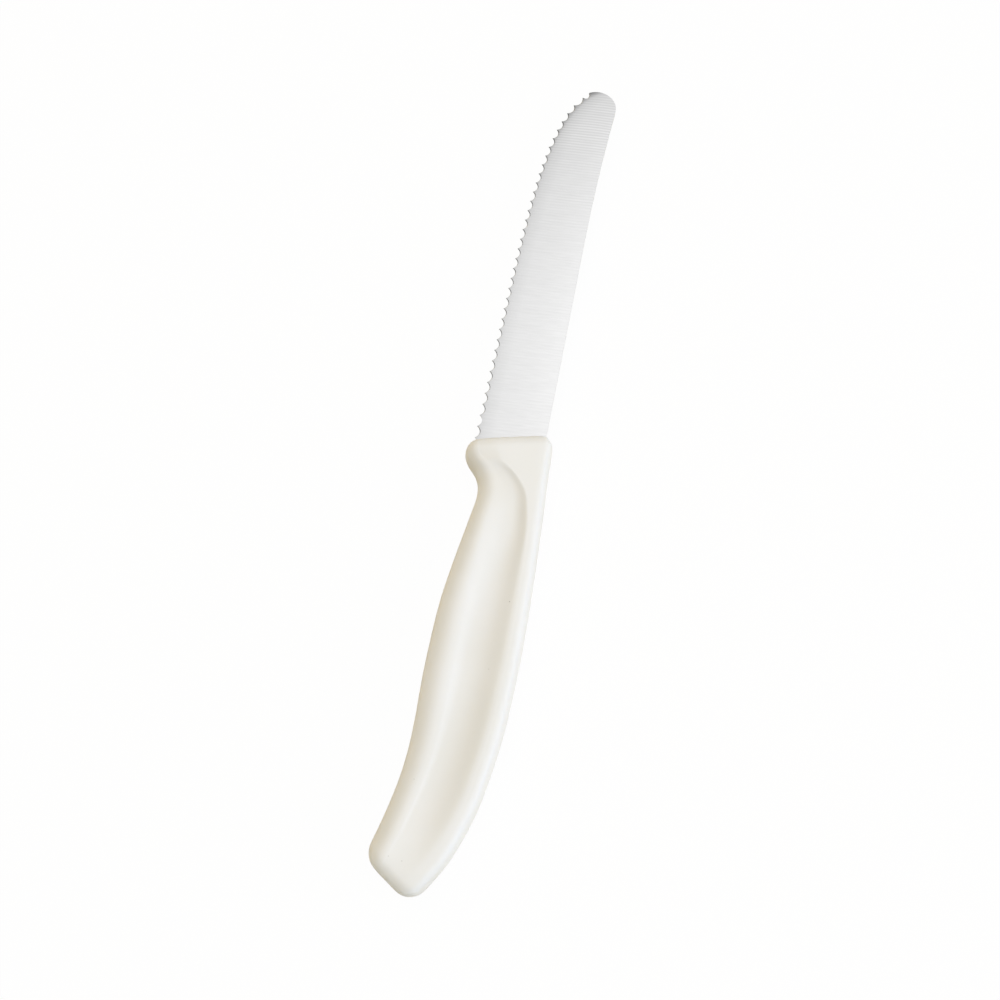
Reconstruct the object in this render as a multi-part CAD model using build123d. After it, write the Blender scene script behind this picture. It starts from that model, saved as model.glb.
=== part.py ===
"""A serrated, round-tipped tomato knife: one ground steel blade in a moulded white handle.

Sizes are in millimetres. While it is drawn, the knife's back runs along X with the tip at +X, the cutting
edge is towards +Y, Z is the thickness with zero in the middle of the steel, and X is zero where the blade's
back comes out of the handle. At the end the knife is laid on its right side, its origin under its middle.
"""
from build123d import *
import math
import os

os.makedirs("parts", exist_ok=True)

# Blade: one steel stamping, ground thin towards the edge
blade_length = 109.5
blade_depth = 17.2
back_offset = 0.3
back_bend_start = 61.0
tip_drop = 3.85
tip_radius = 5.65
tip_corner_angle = 29.5
stock_thickness = 1.2
grind_start = 2.0
edge_thickness = 0.6

# Teeth: gullets ground side by side, with long flutes on the right face and a short bevel on the left
tooth_pitch = 3.11
first_tooth = -1.8
gullet_depth = 0.95
flute_angle = 16.0
flute_land = 0.15
bevel_angle = 40.0
bevel_depth = 0.2
# How far the wheel comes in from outside the edge, and how far up the face it runs
wheel_lead = 4.8
wheel_run = 9.6

# Root and tang: what the handle grips
root_length = 6.5
tang_length = 62.0
tang_depth = 9.6
tang_drop = 0.9
tang_end_radius = 3.0
anchor_hole = 5.0
anchor_hole_setback = 22.0
anchor_hole_spacing = 26.0
anchor_hole_count = 2

# Handle: one moulding, the same on both sides
handle_length = 108.4
handle_depth = 21.3
handle_thickness = 13.0
cheek_skim = 0.04
ridge_width = 3.2
ridge_round = 2.2
step_run = 8.8
scoop_depth = 2.2
belly_round = 6.4
front_round = 1.3
front_back_round = 1.9
nose_round = 0.9
butt_round = 3.5
butt_back_round = 4.0
butt_belly_round = 3.2

cut_overrun = 2.0

# The tips of the teeth follow one curve, whose two powers say how late and how full it bends
late_bend_share = 4.97
full_bend_share = 2.0


tip_centre = Vector(blade_length - tip_radius, tip_drop)


def edge_depth(x):
    """How far from the X axis the tips of the teeth stand, at a place along the blade."""
    run = min(max(x / blade_length, 0), 1)
    return tip_drop + (blade_depth - tip_drop) * (1 - run**late_bend_share) ** (1 / full_bend_share)


def tooth_tips():
    """The tips of the teeth, from the handle to the corner where the round tip begins."""
    corner = tip_centre + Vector(tip_radius, 0).rotate(Axis.Z, tip_corner_angle)
    count = math.floor((corner.X - first_tooth) / tooth_pitch + 1 / 2)
    places = [first_tooth + tooth_pitch * number for number in range(count)]
    return [Vector(x, edge_depth(x)) for x in places] + [corner]


def blade_outline(tips):
    """The blade's face from the root to the tip, with a row of arcs for the gullets."""
    rise = tip_drop + back_offset
    reach = tip_centre.X - back_bend_start
    bend_radius = (reach**2 + rise**2 - tip_radius**2) / (tip_radius - rise) / 2
    bend_centre = Vector(back_bend_start, -back_offset - bend_radius)
    towards_tip = (tip_centre - bend_centre).normalized()
    back_corner = Vector(-root_length, -back_offset)
    bend_begins = Vector(back_bend_start, -back_offset)
    tip_begins = bend_centre + towards_tip * bend_radius
    heel = Vector(first_tooth - tooth_pitch / 2, tips[0].Y - gullet_depth)
    heel_corner = Vector(-root_length, heel.Y)
    edges = [
        Edge.make_line(back_corner, bend_begins),
        Edge.make_tangent_arc(bend_begins, Vector(1, 0), tip_begins),
        Edge.make_three_point_arc(tip_begins, tip_centre + Vector(tip_radius, 0), tips[-1]),
    ]
    for near, far in zip(tips, tips[1:]):
        inward = (far - near).normalized().rotate(Axis.Z, -90)
        edges.append(Edge.make_three_point_arc(far, (near + far) / 2 + inward * gullet_depth, near))
    edges.append(Edge.make_tangent_arc(heel, Vector(1, 0), tips[0]))
    edges.append(Edge.make_line(heel, heel_corner))
    edges.append(Edge.make_line(heel_corner, back_corner))
    return Face(Wire(edges))


def face_grind(side):
    """What the wheel takes off one face of the stock, from below the back to the edge."""
    slope = (stock_thickness - edge_thickness) / 2 / (blade_depth - grind_start)
    surface = stock_thickness / 2
    reach = blade_depth + cut_overrun
    low = surface - slope * (reach - grind_start)
    top = surface + cut_overrun
    corners = [(grind_start, surface), (reach, low), (reach, top), (grind_start, top)]
    wedge = Face(Wire.make_polygon([(-root_length, y, z * side) for y, z in corners]))
    return Solid.extrude(wedge, Vector(root_length + blade_length + cut_overrun, 0, 0))


def gullet_grind(near, far, side, angle, depth_below_face):
    """The round groove that a dressed wheel leaves between two teeth, running up one face."""
    inward = (far - near).normalized().rotate(Axis.Z, -90)
    bottom = (near + far) / 2 + inward * gullet_depth
    slant = math.radians(angle)
    sunk = gullet_depth * math.sin(slant)
    half_chord = (far - near).length / 2
    radius = (half_chord**2 + sunk**2) / sunk / 2
    height = side * (edge_thickness / 2 - depth_below_face)
    along = inward * math.cos(slant) + Vector(0, 0, side) * math.sin(slant)
    out = Vector(0, 0, side) * math.cos(slant) - inward * math.sin(slant)
    start = Vector(bottom.X, bottom.Y, height) + out * radius - along * wheel_lead
    groove = Plane(origin=start, z_dir=along)
    return Solid.make_cylinder(radius, wheel_lead + wheel_run, groove)


def make_tang():
    """The narrow tongue behind the blade's root, with the holes that the handle's plastic runs through."""
    tang = Rectangle(tang_length - root_length, tang_depth, align=(Align.MAX, Align.MIN))
    tang = Pos(-root_length, tang_drop) * tang
    tang = fillet(tang.vertices().group_by(Axis.X)[0], tang_end_radius)
    for number in range(anchor_hole_count):
        setback = anchor_hole_setback + anchor_hole_spacing * number
        tang -= Pos(-setback, tang_drop + tang_depth / 2) * Circle(anchor_hole / 2)
    return extrude(tang, stock_thickness / 2, both=True)


def make_blade():
    """The blade with its ground faces and teeth, and the tang, in one solid."""
    tips = tooth_tips()
    right_face = blade_outline(tips).moved(Pos(0, 0, -stock_thickness / 2))
    blade = Solid.extrude(right_face, Vector(0, 0, stock_thickness))
    blade -= [face_grind(1), face_grind(-1)]
    for near, far in zip(tips, tips[1:]):
        flute = gullet_grind(near, far, -1, flute_angle, edge_thickness - flute_land)
        bevel = gullet_grind(near, far, 1, bevel_angle, bevel_depth)
        blade -= [flute, bevel]
    return blade + make_tang()


# Across the handle, from its back to its belly
back_fullness_share = 0.75
belly_fullness_share = 0.58
step_leave_share = 0.24
step_arrive_share = 0.6
floor_rise_share = 0.5
floor_leave_share = 0.5
floor_arrive_share = 0.3
crest_tilt_share = 0.14

# Stations from the mouth to the butt. Each gives where the outline's back and belly are, as shares of
# handle_length and handle_depth, then the crease's place as a share of the way from the ridge to the belly,
# the step's run, the scoop's depth and the belly's rounding as shares of their own sizes, and how far the
# scoop's floor falls towards the belly, as a share of its own width.
station_shares = [
    (0.003, -0.113, -0.043, 0.874, 0.97, 0.56, 0.20, 0.50, 0.12),
    (-0.017, -0.117, -0.064, 0.868, 0.97, 0.60, 0.28, 0.50, 0.17),
    (-0.026, -0.118, -0.073, 0.856, 0.97, 0.62, 0.34, 0.50, 0.19),
    (-0.037, -0.120, -0.084, 0.821, 0.97, 0.64, 0.41, 0.50, 0.22),
    (-0.050, -0.122, -0.095, 0.770, 0.87, 0.29, 0.22, 0.52, 0.20),
    (-0.063, -0.124, -0.106, 0.717, 0.80, 0.27, 0.29, 0.54, 0.21),
    (-0.078, -0.127, -0.118, 0.678, 0.68, 0.27, 0.36, 0.55, 0.21),
    (-0.098, -0.131, -0.135, 0.641, 0.54, 0.29, 0.40, 0.60, 0.17),
    (-0.129, -0.141, -0.159, 0.631, 0.30, 0.34, 0.43, 0.66, 0.12),
    (-0.171, -0.153, -0.191, 0.650, 0.12, 0.39, 0.54, 0.70, 0.07),
    (-0.231, -0.167, -0.241, 0.685, 0.00, 0.48, 0.65, 0.76, 0.03),
    (-0.309, -0.186, -0.313, 0.736, 0.00, 0.70, 0.78, 0.88, 0.00),
    (-0.406, -0.201, -0.406, 0.787, 0.00, 0.90, 0.92, 0.97, 0.00),
    (-0.498, -0.206, -0.495, 0.800, 0.00, 1.00, 1.00, 1.00, 0.00),
    (-0.589, -0.196, -0.582, 0.796, 0.00, 1.00, 1.00, 1.00, 0.00),
    (-0.678, -0.169, -0.666, 0.777, 0.00, 1.00, 1.00, 0.95, 0.00),
    (-0.754, -0.117, -0.728, 0.777, 0.00, 1.00, 0.96, 0.89, 0.00),
    (-0.827, -0.047, -0.790, 0.805, 0.00, 1.00, 0.86, 0.84, 0.00),
    (-0.879, 0.037, -0.830, 0.840, 0.03, 0.96, 0.66, 0.81, 0.00),
    (-0.932, 0.146, -0.872, 0.883, 0.10, 0.86, 0.36, 0.78, 0.00),
    (-0.986, 0.315, -0.911, 0.932, 0.20, 0.70, 0.10, 0.75, 0.00),
    (-1.014, 0.419, -0.945, 0.978, 0.25, 0.60, 0.02, 0.72, 0.00),
]
rounding_shares = [0.0, 0.04, 0.15, 0.35, 0.65, 1.0]


def between(first, last, share):
    """A station part of the way from one station to another."""
    return [a + (b - a) * share for a, b in zip(first, last)]


def inset(distance, radius):
    """How far a rounded end has drawn in, at a distance from its flat."""
    short = max(radius - distance, 0)
    return radius - math.sqrt(radius**2 - short**2)


def half_section(station, back_inset=0, belly_inset=0, cheek_inset=0):
    """The outline of the handle's left half across one station, a little past the middle."""
    back_x, back_y, belly_x, belly_y, crease_share, run_share, depth_share, round_share, fall_share = station
    back = Vector(back_x * handle_length, back_y * handle_depth)
    belly = Vector(belly_x * handle_length, belly_y * handle_depth)
    whole = (belly - back).length
    across = (belly - back).normalized()
    width = whole - back_inset - belly_inset
    narrow = width / whole
    corner = ridge_round * narrow
    ridge = ridge_width * narrow
    run = step_run * run_share * narrow
    belly_side = width - belly_round * round_share * narrow
    crease = ridge + (belly_side - run - ridge) * crease_share
    cheek = handle_thickness / 2 + cheek_skim - cheek_inset
    floor = cheek - scoop_depth * depth_share
    foot = crease + run
    floor_width = belly_side - foot
    belly_width = width - belly_side
    rise = (cheek - floor) * floor_rise_share * floor_width / belly_round
    crest = floor + rise - floor_width * fall_share
    tilt = crest_tilt_share * depth_share - fall_share
    before_foot = run * step_arrive_share
    past_foot = floor_width * floor_leave_share
    before_crest = floor_width * floor_arrive_share
    past_crest = belly_width * belly_fullness_share

    def at(along, height):
        return back + across * (back_inset + along) + Vector(0, 0, height)

    low = -cut_overrun
    return Wire([
        Edge.make_line(at(0, low), at(0, 0)),
        Edge.make_bezier(
            at(0, 0),
            at(0, cheek * back_fullness_share),
            at(corner - corner * back_fullness_share, cheek),
            at(corner, cheek),
        ),
        Edge.make_line(at(corner, cheek), at(crease, cheek)),
        Edge.make_bezier(
            at(crease, cheek),
            at(crease + run * step_leave_share, cheek),
            at(foot - before_foot, floor + before_foot * fall_share),
            at(foot, floor),
        ),
        Edge.make_bezier(
            at(foot, floor),
            at(foot + past_foot, floor - past_foot * fall_share),
            at(belly_side - before_crest, crest - before_crest * tilt),
            at(belly_side, crest),
        ),
        Edge.make_bezier(
            at(belly_side, crest),
            at(belly_side + past_crest, crest + past_crest * tilt),
            at(width, crest * belly_fullness_share),
            at(width, 0),
        ),
        Edge.make_line(at(width, 0), at(width, low)),
        Edge.make_line(at(width, low), at(0, low)),
    ])


def make_handle(blade):
    """The handle moulded around the blade's root and tang, its plastic filling the holes."""
    sections = []
    for share in rounding_shares:
        gone = nose_round * share
        station = between(station_shares[0], station_shares[1], share)
        insets = inset(gone, front_back_round), inset(gone, nose_round), inset(gone, front_round)
        sections.append(half_section(station, *insets))
    sections += [half_section(station) for station in station_shares[2:-2]]
    for share in reversed(rounding_shares):
        gone = butt_back_round * share
        station = between(station_shares[-1], station_shares[-2], share)
        insets = inset(gone, butt_back_round), inset(gone, butt_belly_round), inset(gone, butt_round)
        sections.append(half_section(station, *insets))
    grip = Solid.make_loft(sections)
    wide = (handle_length + handle_depth) * 2
    left_slab = Box(wide, wide, handle_thickness / 2, align=(Align.CENTER, Align.CENTER, Align.MIN))
    left_half = left_slab & grip
    return left_half + left_half.mirror(Plane.XY) - blade


blade = make_blade()
knife = {"blade": blade, "handle": make_handle(blade)}
box = Compound(list(knife.values())).bounding_box()
middle = box.center()
for name, piece in knife.items():
    export_step(Pos(-middle.X, -middle.Y, -box.min.Z) * piece, f"parts/{name}.step")
    print(name, "volume", round(piece.volume), "solids", len(piece.solids()), "valid", piece.is_valid)
print("middle of the knife from the mouth's corner", middle, "size", box.size)
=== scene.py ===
"""Looks of a serrated tomato knife with a moulded white handle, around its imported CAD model.

Lengths are in metres. The knife lies on its right side: its tip is at +X, its cutting edge at +Y and the
steel's middle 6.5 mm up. Sizes named in millimetres are turned into metres where a mesh takes them.
"""
import math

import bmesh
import bpy
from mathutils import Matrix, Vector
from mathutils.geometry import interpolate_bezier


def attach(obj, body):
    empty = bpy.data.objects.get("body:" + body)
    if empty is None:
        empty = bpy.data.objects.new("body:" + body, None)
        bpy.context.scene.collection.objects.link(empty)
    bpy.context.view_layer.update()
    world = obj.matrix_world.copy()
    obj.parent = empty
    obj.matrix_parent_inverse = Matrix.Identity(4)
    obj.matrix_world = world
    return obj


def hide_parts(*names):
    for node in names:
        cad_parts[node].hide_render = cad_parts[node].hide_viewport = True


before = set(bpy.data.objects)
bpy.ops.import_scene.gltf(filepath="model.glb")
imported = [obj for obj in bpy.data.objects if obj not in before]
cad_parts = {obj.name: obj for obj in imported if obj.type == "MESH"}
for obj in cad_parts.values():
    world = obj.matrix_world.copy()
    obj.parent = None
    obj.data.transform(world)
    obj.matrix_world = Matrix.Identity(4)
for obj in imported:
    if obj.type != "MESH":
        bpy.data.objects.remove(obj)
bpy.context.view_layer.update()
scene = bpy.context.scene
scene.view_settings.view_transform = "Standard"

# Camera: it looks down on the knife from behind the butt, 70 degrees above the table, with the blade
# pointing up and a little to the right in the picture.
camera_data = bpy.data.cameras.new("camera")
camera_data.sensor_width = 36.0
camera_data.lens = 36.0
camera_data.clip_start = 0.01
camera_data.clip_end = 20.0
camera_tilt = math.radians(20.0)
camera_heading = math.radians(-78.922)
camera = bpy.data.objects.new("camera", camera_data)
camera.location = (-0.098739, -0.016015, 0.234565)
camera.rotation_euler = (camera_tilt, 0.0, camera_heading)
scene.collection.objects.link(camera)
scene.camera = camera


# Blade: one piece of stainless steel, stamped, ground thin across its width and left with the fine lines of
# the grinding belt. The gullets between its teeth are ground last and keep brighter, cleaner cuts.
class Field:
    """A value that varies over a surface. Sums written with it add Math nodes to its node tree."""

    def __init__(self, tree, socket=None):
        self.tree = tree
        self.socket = socket

    def add(self, kind, settings=None, sockets=None, output=0):
        """Adds a node of any kind, sets it, then its sockets, and gives back one of its outputs."""
        node = self.tree.nodes.new("ShaderNode" + kind)
        for name, value in (settings or {}).items():
            if name == "stops":
                ramp = node.color_ramp
                while len(ramp.elements) < len(value):
                    ramp.elements.new(1.0)
                for element, (place, colour) in zip(ramp.elements, value):
                    element.position = place
                    element.color = colour
            else:
                setattr(node, name, value)
        for name, value in (sockets or {}).items():
            if isinstance(value, Field):
                self.tree.links.new(value.socket, node.inputs[name])
            else:
                node.inputs[name].default_value = value
        return Field(self.tree, node.outputs[output] if node.outputs else None)

    def maths(self, operation, first, second):
        return self.add("Math", {"operation": operation}, {0: first, 1: second})

    def __add__(self, other):
        return self.maths("ADD", self, other)

    def __radd__(self, other):
        return self.maths("ADD", other, self)

    def __sub__(self, other):
        return self.maths("SUBTRACT", self, other)

    def __rsub__(self, other):
        return self.maths("SUBTRACT", other, self)

    def __mul__(self, other):
        return self.maths("MULTIPLY", self, other)

    def __rmul__(self, other):
        return self.maths("MULTIPLY", other, self)


def new_finish(name):
    """An empty material, and a Field to build its nodes with."""
    material = bpy.data.materials.new(name)
    material.use_nodes = True
    material.node_tree.nodes.clear()
    return material, Field(material.node_tree)


# Sizes in millimetres. The mouth's corner is where the blade's back comes out of the handle.
mouth_x = -0.518
mouth_y = -7.884
blade_length = 109.5
tip_drop = 3.85
edge_bulge = 12.6
edge_bend = 5.0
# The steel's painted shade fades out over about this many millimetres from the teeth.
edge_shade_depth = 18.0
line_slant = math.radians(-3.0)

# How much each set of lines adds to the height of the ground steel.
fine_share = 0.58
belt_share = 0.32
ripple_share = 3.4

# The lines run nearly square across the blade. Their pattern is turned a little about the upright axis.
steel, steel_field = new_finish("ground_steel")
place = steel_field.add("TexCoord", output="Object")
slanted = steel_field.add("Mapping", {}, {"Vector": place, "Rotation": (0.0, 0.0, line_slant)})


def grinding_lines(scale, stretch, seed, detail):
    """Lines that run across the blade: the pattern changes fast along it and slowly across it."""
    stretched = steel_field.add("Mapping", {}, {
        "Vector": slanted,
        "Location": (seed, seed, 0.0),
        "Scale": (scale, scale * stretch, scale * stretch),
    })
    return steel_field.add("TexNoise", {}, {
        "Vector": stretched,
        "Scale": 1.0,
        "Detail": detail,
        "Roughness": 0.6,
    }, "Fac")


# Distance in millimetres from the curve through the teeth's tips, which runs down to the round tip.
along = steel_field.add("SeparateXYZ", {}, {0: place}, "X") * 1000.0 - mouth_x
across = steel_field.add("SeparateXYZ", {}, {0: place}, "Y") * 1000.0 - mouth_y
flatness = 1.0 - steel_field.maths("POWER", along * (1.0 / blade_length), edge_bend)
bend = steel_field.maths("SQRT", steel_field.maths("MAXIMUM", flatness, 0.0), 0.0)
from_edge = tip_drop + edge_bulge * bend - across

# The ripple is the belt's chatter. It comes and goes in patches and is strongest 14 mm from the tip.
fine_lines = grinding_lines(3200.0, 0.07, 3.0, 2.0)
belt_lines = grinding_lines(1100.0, 0.03, 11.0, 3.0)
patches = grinding_lines(160.0, 0.05, 23.0, 1.0)
ripple = steel_field.add("TexWave", {"wave_type": "BANDS", "bands_direction": "X"}, {
    "Vector": slanted,
    "Scale": 350.0,
    "Distortion": 2.5,
    "Detail": 2.0,
    "Detail Scale": 0.15,
}, "Fac")
chatter = steel_field.add("ValToRGB", {"stops": [
    (0.0, (0.1, 0.1, 0.1, 1.0)),
    (0.5, (0.15, 0.15, 0.15, 1.0)),
    (0.72, (0.4, 0.4, 0.4, 1.0)),
    (0.82, (0.9, 0.9, 0.9, 1.0)),
    (0.87, (1.8, 1.8, 1.8, 1.0)),
    (0.93, (0.9, 0.9, 0.9, 1.0)),
]}, {"Fac": along * (1.0 / blade_length)}, "Color")
ripple_height = (ripple - 0.5) * (patches - 0.2) * belt_lines * ripple_share * chatter
steel_height = fine_lines * fine_share + belt_lines * belt_share + ripple_height

# Painted shade: the steel's colour is made darker over the last millimetres before the teeth, and most of all
# near the tip, standing in for the dimmer reflection there.
painted_edge_shade = steel_field.add("ValToRGB", {"stops": [
    (0.0, (0.28, 0.28, 0.28, 1.0)),
    (0.09, (0.55, 0.55, 0.55, 1.0)),
    (0.15, (0.76, 0.76, 0.76, 1.0)),
    (0.21, (0.82, 0.82, 0.82, 1.0)),
    (0.36, (0.89, 0.89, 0.89, 1.0)),
    (0.66, (0.92, 0.92, 0.92, 1.0)),
    (1.0, (0.97, 0.97, 0.97, 1.0)),
]}, {"Fac": from_edge * (1.0 / edge_shade_depth) + flatness * 0.14}, "Color")
streaks = steel_field.add("ValToRGB", {"stops": [
    (0.3, (0.86, 0.86, 0.86, 1.0)),
    (0.9, (1.0, 1.0, 1.0, 1.0)),
]}, {"Fac": steel_height}, "Color")
steel_colour = steel_field.add("Mix", {"data_type": "RGBA", "blend_type": "MULTIPLY"}, {
    0: 1.0,
    6: painted_edge_shade,
    7: streaks,
}, 2)
steel_bump = steel_field.add("Bump", {}, {
    "Strength": 0.1,
    "Distance": 0.00005,
    "Height": steel_height,
}, "Normal")
steel_surface = steel_field.add("BsdfPrincipled", {}, {
    "Base Color": steel_colour,
    "Metallic": 1.0,
    "Roughness": 0.24 + 0.12 * belt_lines,
    "Normal": steel_bump,
})
steel_field.add("OutputMaterial", {}, {"Surface": steel_surface})

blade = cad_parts["blade"]
blade.data.materials.clear()
blade.data.materials.append(steel)


# Handle: one shot of white polypropylene, moulded round the steel's tang. Both sides have the same finger
# scoop between a flat ridge along the back and the rounded belly, and a guard stands out before the blade.
handle_length = 108.4
handle_depth = 21.3
half_thickness = 6.5
ridge_width = 3.2
ridge_round = 2.2
step_run = 8.8
scoop_depth = 2.2
belly_round = 6.4
front_round = 1.3
front_back_round = 1.9
nose_round = 0.9
butt_round = 3.5
butt_back_round = 4.0
butt_belly_round = 3.2
station_gap = 2.4
mm = 0.001
mouth_corner = Vector((mouth_x, mouth_y, half_thickness))

# How full the rounded parts of a section are, and how it leaves one part and meets the next, as shares.
back_fullness = 0.75
belly_fullness = 0.58
step_leave = 0.24
step_arrive = 0.6
floor_rise = 0.5
floor_leave = 0.5
floor_arrive = 0.3
crest_tilt = 0.14

# From the mouth to the butt: the outline's back and belly as shares of the length and depth, the crease's
# place between ridge and belly, the step's run, the scoop's depth and the belly's rounding as shares, and
# how steeply the scoop's floor falls towards the belly.
stations = [
    (0.003, -0.113, -0.043, 0.874, 0.97, 0.56, 0.20, 0.50, 0.12),
    (-0.017, -0.117, -0.064, 0.868, 0.97, 0.60, 0.28, 0.50, 0.17),
    (-0.026, -0.118, -0.073, 0.856, 0.97, 0.62, 0.34, 0.50, 0.19),
    (-0.037, -0.120, -0.084, 0.821, 0.97, 0.64, 0.41, 0.50, 0.22),
    (-0.050, -0.122, -0.095, 0.770, 0.87, 0.29, 0.22, 0.52, 0.20),
    (-0.063, -0.124, -0.106, 0.717, 0.80, 0.27, 0.29, 0.54, 0.21),
    (-0.078, -0.127, -0.118, 0.678, 0.68, 0.27, 0.36, 0.55, 0.21),
    (-0.098, -0.131, -0.135, 0.641, 0.54, 0.29, 0.40, 0.60, 0.17),
    (-0.129, -0.141, -0.159, 0.631, 0.30, 0.34, 0.43, 0.66, 0.12),
    (-0.171, -0.153, -0.191, 0.650, 0.12, 0.39, 0.54, 0.70, 0.07),
    (-0.231, -0.167, -0.241, 0.685, 0.00, 0.48, 0.65, 0.76, 0.03),
    (-0.309, -0.186, -0.313, 0.736, 0.00, 0.70, 0.78, 0.88, 0.00),
    (-0.406, -0.201, -0.406, 0.787, 0.00, 0.90, 0.92, 0.97, 0.00),
    (-0.498, -0.206, -0.495, 0.800, 0.00, 1.00, 1.00, 1.00, 0.00),
    (-0.589, -0.196, -0.582, 0.796, 0.00, 1.00, 1.00, 1.00, 0.00),
    (-0.678, -0.169, -0.666, 0.777, 0.00, 1.00, 1.00, 0.95, 0.00),
    (-0.754, -0.117, -0.728, 0.777, 0.00, 1.00, 0.96, 0.89, 0.00),
    (-0.827, -0.047, -0.790, 0.805, 0.00, 1.00, 0.86, 0.84, 0.00),
    (-0.879, 0.037, -0.830, 0.840, 0.03, 0.96, 0.66, 0.81, 0.00),
    (-0.932, 0.146, -0.872, 0.883, 0.10, 0.86, 0.36, 0.78, 0.00),
    (-0.986, 0.315, -0.911, 0.932, 0.20, 0.70, 0.10, 0.75, 0.00),
    (-1.014, 0.419, -0.945, 0.978, 0.25, 0.60, 0.02, 0.72, 0.00),
]


def blend(first, last, share):
    """A station part of the way from one station to another."""
    return [a + (b - a) * share for a, b in zip(first, last)]


def span(first, last):
    """The way between two stations, in millimetres along the handle's middle."""
    run = (last[0] + last[2] - first[0] - first[2]) / 2 * handle_length
    drop = (last[1] + last[3] - first[1] - first[3]) / 2 * handle_depth
    return math.hypot(run, drop)


def smooth_path(rows, step):
    """The same stations with more between them, about a step apart, on one smooth curve through them."""
    spans = [span(first, last) for first, last in zip(rows, rows[1:])]
    slopes = [[(b - a) / gap for a, b in zip(first, last)] for first, last, gap in zip(rows, rows[1:], spans)]
    tangents = [slopes[0]]
    for before, after, near, far in zip(slopes, slopes[1:], spans, spans[1:]):
        tangents.append([(a * far + b * near) / (near + far) for a, b in zip(before, after)])
    tangents.append(slopes[-1])
    dense = [list(rows[0])]
    for index, gap in enumerate(spans):
        count = max(1, round(gap / step))
        for part in range(1, count + 1):
            t = part / count
            weights = (
                2 * t**3 - 3 * t**2 + 1,
                (t**3 - 2 * t**2 + t) * gap,
                3 * t**2 - 2 * t**3,
                (t**3 - t**2) * gap,
            )
            columns = zip(rows[index], tangents[index], rows[index + 1], tangents[index + 1])
            dense.append([sum(w * value for w, value in zip(weights, column)) for column in columns])
    return dense


def inset(gone, radius):
    """How far a rounded end has drawn in, at a distance from the flat."""
    return radius - math.sqrt(radius**2 - max(radius - gone, 0) ** 2)


def half_section(station, back_inset=0.0, belly_inset=0.0, cheek_inset=0.0):
    """Points over the left side of one section, from the middle of the back to the middle of the belly."""
    back_x, back_y, belly_x, belly_y, crease_share, run_share, depth_share, round_share, fall = station
    back = Vector((back_x * handle_length, back_y * handle_depth, 0))
    belly = Vector((belly_x * handle_length, belly_y * handle_depth, 0))
    whole = (belly - back).length
    across = (belly - back).normalized()
    width = whole - back_inset - belly_inset
    narrow = width / whole
    corner = ridge_round * narrow
    ridge = ridge_width * narrow
    run = step_run * run_share * narrow
    belly_side = width - belly_round * round_share * narrow
    crease = ridge + (belly_side - run - ridge) * crease_share
    cheek = half_thickness - cheek_inset
    floor = cheek - scoop_depth * depth_share
    foot = crease + run
    floor_left = belly_side - foot
    last = width - belly_side
    before_corner = corner * (1 - back_fullness)
    rise = (cheek - floor) * floor_rise * floor_left / belly_round
    crest = floor + rise - fall * floor_left
    tilt = crest_tilt * depth_share - fall
    before_foot = run * step_arrive
    past_foot = floor_left * floor_leave
    before_crest = floor_left * floor_arrive
    past_crest = last * belly_fullness

    def at(along, height):
        return back + across * (back_inset + along) + Vector((0, 0, height))

    def curve(count, start, leave, arrive, end):
        return interpolate_bezier(at(*start), at(*leave), at(*arrive), at(*end), count + 1)[1:]

    points = [at(0, 0)]
    points += curve(8, (0, 0), (0, cheek * back_fullness), (before_corner, cheek), (corner, cheek))
    points += curve(3, (corner, cheek), (corner, cheek), (crease, cheek), (crease, cheek))
    points += curve(8, (crease, cheek), (crease + run * step_leave, cheek),
                    (foot - before_foot, floor + before_foot * fall), (foot, floor))
    points += curve(4, (foot, floor), (foot + past_foot, floor - past_foot * fall),
                    (belly_side - before_crest, crest - before_crest * tilt), (belly_side, crest))
    points += curve(9, (belly_side, crest), (belly_side + past_crest, crest + past_crest * tilt),
                    (width, crest * belly_fullness), (width, 0))
    return points


sections = []
rounding = [0.0, 0.04, 0.15, 0.35, 0.65]
for share in rounding:
    gone = nose_round * share
    station = blend(stations[0], stations[1], share)
    insets = inset(gone, front_back_round), inset(gone, nose_round), inset(gone, front_round)
    sections.append(half_section(station, *insets))
sections += [half_section(station) for station in smooth_path(stations[1:-1], station_gap)]
for share in reversed(rounding):
    gone = butt_back_round * share
    station = blend(stations[-1], stations[-2], share)
    insets = inset(gone, butt_back_round), inset(gone, butt_belly_round), inset(gone, butt_round)
    sections.append(half_section(station, *insets))

grip = bmesh.new()
rings = []
for section in sections:
    under = [Vector((point.x, point.y, -point.z)) for point in section[-2:0:-1]]
    corners = [grip.verts.new((mouth_corner + point) * mm) for point in section + under]
    rings.append([grip.edges.new(pair) for pair in zip(corners, corners[1:] + corners[:1])])
for near, far in zip(rings, rings[1:]):
    bmesh.ops.bridge_loops(grip, edges=near + far)
for ring in (rings[0], rings[-1]):
    bmesh.ops.contextual_create(grip, geom=ring)
bmesh.ops.recalc_face_normals(grip, faces=grip.faces)
for face in grip.faces:
    face.smooth = True
grip_mesh = bpy.data.meshes.new("moulded_grip")
grip.to_mesh(grip_mesh)
grip.free()
moulded_grip = bpy.data.objects.new("moulded_grip", grip_mesh)
scene.collection.objects.link(moulded_grip)
rounded = moulded_grip.modifiers.new("rounded", "SUBSURF")
rounded.levels = 2
rounded.render_levels = 2

plastic, plastic_field = new_finish("white_polypropylene")
plastic_place = plastic_field.add("TexCoord", output="Object")
grain = plastic_field.add("TexNoise", {}, {"Vector": plastic_place, "Scale": 2600.0, "Detail": 2.0}, "Fac")
flow = plastic_field.add("TexNoise", {}, {"Vector": plastic_place, "Scale": 60.0, "Detail": 2.0}, "Fac")
plastic_colour = plastic_field.add("ValToRGB", {"stops": [
    (0.3, (0.87, 0.85, 0.785, 1.0)),
    (0.7, (0.89, 0.87, 0.815, 1.0)),
]}, {"Fac": flow}, "Color")

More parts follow.
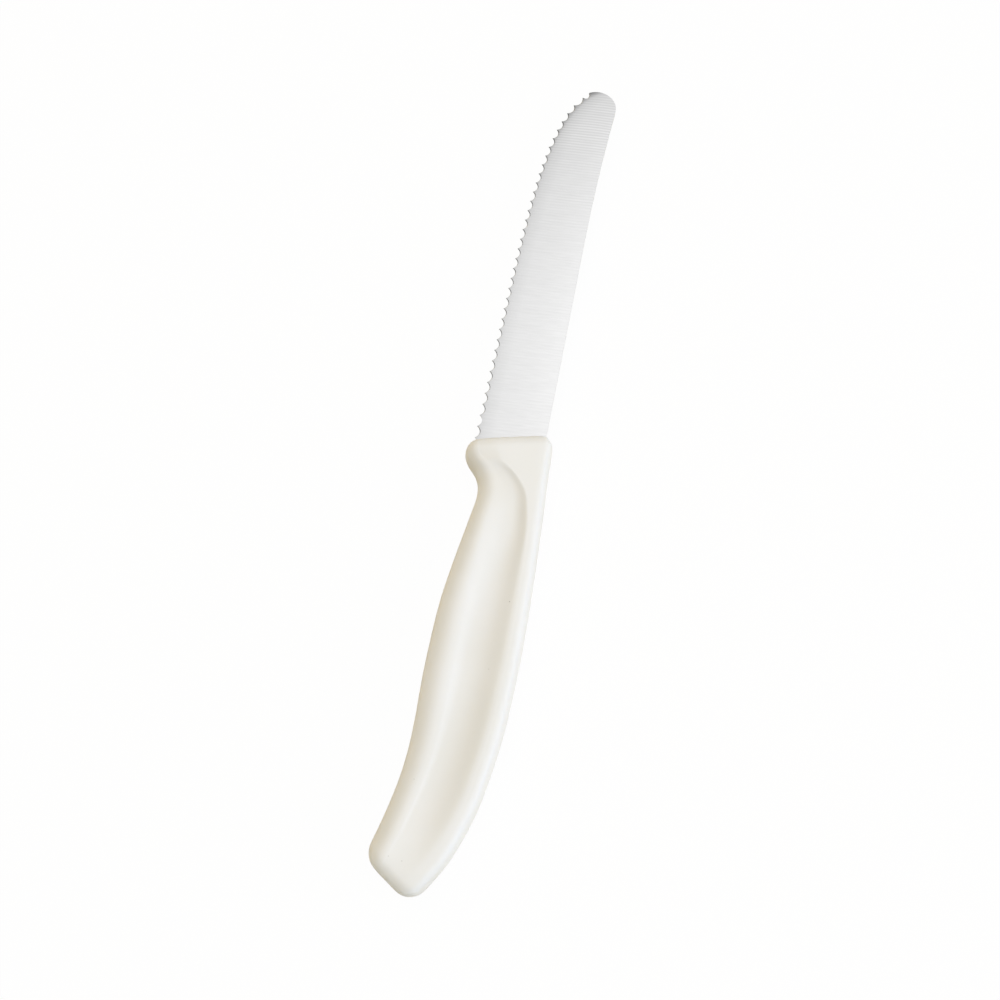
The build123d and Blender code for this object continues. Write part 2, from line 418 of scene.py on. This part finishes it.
# A few specks of grit sit in the skin of the left side. Each has its place and its width in millimetres. The
# height is squeezed, so that a speck keeps its full width where the skin slopes.
skin_squeeze = 0.1
specks = [
    (-43.2, -7.35, 12.6, 0.32),
    (-59.1, -5.7, 11.9, 0.2),
    (-85.4, 5.5, 11.1, 0.22),
    (-101.7, 7.2, 12.7, 0.21),
    (-102.1, 4.2, 12.7, 0.23),
]
skin = plastic_field.add("VectorMath", {"operation": "MULTIPLY"}, {
    0: plastic_place,
    1: (1.0, 1.0, skin_squeeze),
}, "Vector")
nearest = None
for x, y, z, width in specks:
    spot = Vector((x, y, z * skin_squeeze)) * mm
    apart = plastic_field.add("VectorMath", {"operation": "DISTANCE"}, {0: skin, 1: spot}, "Value")
    widths = apart * (1 / width)
    nearest = plastic_field.maths("MINIMUM", nearest, widths) if nearest else widths
grit = plastic_field.add("ValToRGB", {"stops": [
    (0.25, (0.64, 0.63, 0.60, 1.0)),
    (0.9, (1.0, 1.0, 1.0, 1.0)),
]}, {"Fac": nearest * 1500.0}, "Color")
specked = plastic_field.add("Mix", {"data_type": "RGBA", "blend_type": "MULTIPLY"}, {
    0: 1.0,
    6: plastic_colour,
    7: grit,
}, 2)
plastic_bump = plastic_field.add("Bump", {}, {
    "Strength": 0.08,
    "Distance": 0.00004,
    "Height": grain,
}, "Normal")
plastic_surface = plastic_field.add("BsdfPrincipled", {}, {
    "Base Color": specked,
    "Roughness": 0.42 + 0.06 * flow,
    "IOR": 1.49,
    "Normal": plastic_bump,
})
plastic_field.add("OutputMaterial", {}, {"Surface": plastic_surface})
grip_mesh.materials.append(plastic)
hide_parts("handle")
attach(moulded_grip, "root")


# Floor: a matt white table top. What the camera and the steel see of it is nearly pure white, and a soft
# shadow stays under the knife.
table_reach = 3.0
table_gap = 0.00005
table_top = bmesh.new()
bmesh.ops.create_grid(table_top, x_segments=1, y_segments=1, size=table_reach)
bmesh.ops.translate(table_top, verts=table_top.verts, vec=(0.0, 0.0, -table_gap))
table_mesh = bpy.data.meshes.new("table_top")
table_top.to_mesh(table_mesh)
table_top.free()
table = bpy.data.objects.new("table_top", table_mesh)
scene.collection.objects.link(table)

paper, paper_field = new_finish("white_paper")
seen = paper_field.add("LightPath", output="Is Camera Ray")
mirrored = paper_field.add("LightPath", output="Is Glossy Ray")
matt = paper_field.add("BsdfDiffuse", {}, {"Color": (0.88, 0.84, 0.73, 1.0)})
glow = paper_field.add("Emission", {}, {"Color": (1.0, 1.0, 1.0, 1.0), "Strength": 1.0})
paper_mix = paper_field.add("MixShader", {}, {0: seen * 0.97 + mirrored * 0.2, 1: matt, 2: glow})
paper_field.add("OutputMaterial", {}, {"Surface": paper_mix})
table_mesh.materials.append(paper)


# Light: a white studio. Diffuse surfaces get a dim, slightly warm fill from all round. Large softboxes to
# the right and overhead are cool, and one to the left fills the shaded side with warm light.
world = bpy.data.worlds.new("studio")
scene.world = world
world.use_nodes = True
world.node_tree.nodes.clear()
world_field = Field(world.node_tree)
ray_names = ("Is Camera Ray", "Is Glossy Ray", "Is Transmission Ray")
from_camera, from_gloss, from_glass = [world_field.add("LightPath", output=name) for name in ray_names]
open_view = world_field.add("Math", {"operation": "ADD", "use_clamp": True}, {
    0: from_camera + from_gloss,
    1: from_glass,
})
fill = world_field.add("Background", {}, {"Color": (1.0, 0.92, 0.64, 1.0), "Strength": 0.17})

# The steel mirrors a room that is dark low down and brightest overhead, towards the tip.
heading = world_field.add("TexCoord", output="Generated")
upward = world_field.add("SeparateXYZ", {}, {0: heading}, "Z")
forward = world_field.add("SeparateXYZ", {}, {0: heading}, "X")
height = world_field.add("ValToRGB", {"stops": [
    (0.5, (0.3, 0.3, 0.3, 1.0)),
    (0.85, (0.79, 0.79, 0.79, 1.0)),
    (0.93, (1.17, 1.17, 1.17, 1.0)),
]}, {0: upward * 0.5 + 0.5}, "Color")
ceiling = world_field.add("ValToRGB", {"stops": [
    (0.25, (0.6, 0.6, 0.6, 1.0)),
    (0.5, (0.4, 0.4, 0.4, 1.0)),
    (0.67, (1.0, 1.0, 1.0, 1.0)),
]}, {0: forward * 0.5 + 0.5}, "Color")
mirrored_room = world_field.add("Mix", {"data_type": "RGBA", "blend_type": "MULTIPLY"}, {
    0: 1.0,
    6: height,
    7: ceiling,
}, 2)
seen_room = world_field.add("Mix", {"data_type": "RGBA"}, {
    0: from_camera,
    6: mirrored_room,
    7: (1.0, 1.0, 1.0, 1.0),
}, 2)
white = world_field.add("Background", {}, {"Color": seen_room, "Strength": 1.0})
sky = world_field.add("MixShader", {}, {0: open_view, 1: fill, 2: white})
world_field.add("OutputWorld", {}, {"Surface": sky})


softbox_width = 0.7


def softbox(name, location, energy, colour):
    """A square soft lamp that faces the knife."""
    lamp = bpy.data.lights.new(name, "AREA")
    lamp.shape = "SQUARE"
    lamp.size = softbox_width
    lamp.energy = energy
    lamp.color = colour
    box = bpy.data.objects.new(name, lamp)
    box.location = location
    box.rotation_euler = (-Vector(location)).to_track_quat("-Z", "Y").to_euler()
    box.visible_glossy = False
    scene.collection.objects.link(box)


softbox("side_softbox", (-0.16, -0.892, 0.423), 6.5, (0.84, 0.87, 1.0))
softbox("top_softbox", (0.0, 0.0, 1.0), 6.9, (0.585, 0.745, 1.0))
softbox("warm_softbox", (0.2, 0.46, 0.866), 3.05, (1.0, 0.61, 0.05))
